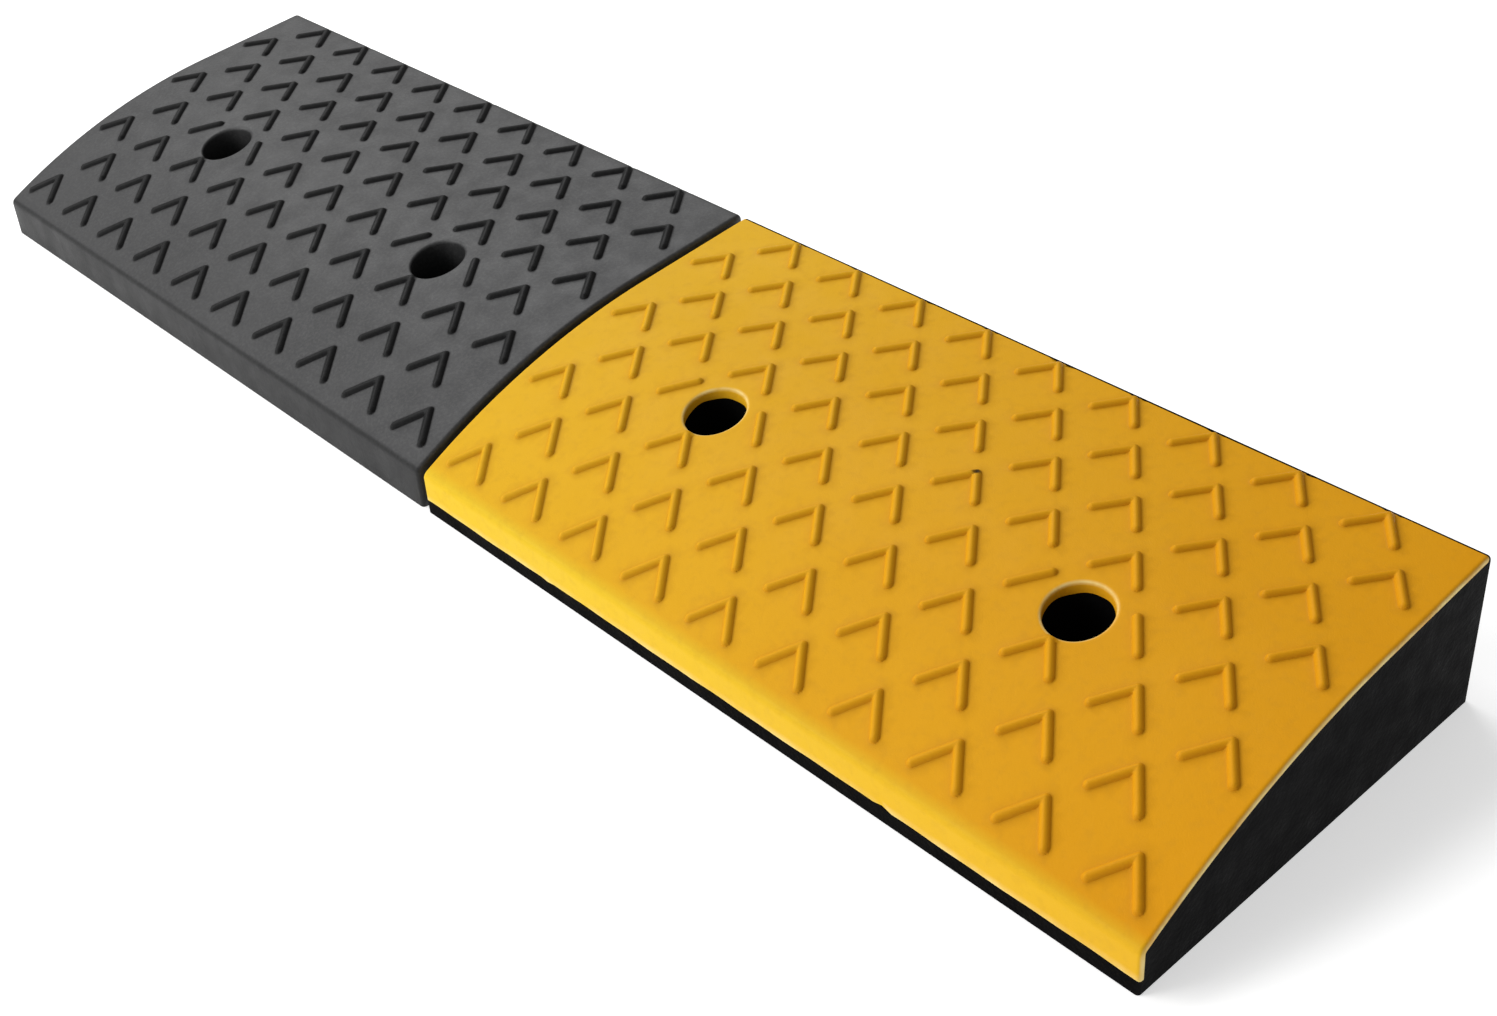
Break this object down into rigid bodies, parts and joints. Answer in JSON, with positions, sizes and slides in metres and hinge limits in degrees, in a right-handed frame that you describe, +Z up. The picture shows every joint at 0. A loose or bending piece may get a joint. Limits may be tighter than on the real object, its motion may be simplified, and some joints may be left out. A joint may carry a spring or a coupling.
{
  "type": "rubber kerb ramp",
  "caption": "Low rubber kerb ramp in black and yellow wedge modules, with a curved chevron-tread top, a tall back face and recessed bolt holes.",
  "frame": {"origin": "on the ground, in the middle of the pair of modules", "axes": "+X along the kerb from the black module to the yellow one, +Y from the front lip to the kerb, +Z up"},
  "size_m": [1.005, 0.25, 0.09],
  "materials": {
    "black_rubber": "moulded recycled rubber, dark grey, dull sheen",
    "core_rubber": "moulded recycled rubber, black",
    "yellow_rubber": "traffic-yellow rubber skin, satin",
    "steel": "zinc-plated washer"
  },
  "bodies": {
    "black_module": {"black_body": "black_rubber", "black_washer_left": "steel", "black_washer_right": "steel"},
    "yellow_module": {"yellow_core": "core_rubber", "yellow_skin": "yellow_rubber", "yellow_washer_left": "steel", "yellow_washer_right": "steel"}
  },
  "joints": [
    {"name": "module_slide", "type": "slide", "parent": "black_module", "child": "yellow_module", "axis": [1, 0, 0], "range_m": [-0.0045, 0.25]}
  ]
}
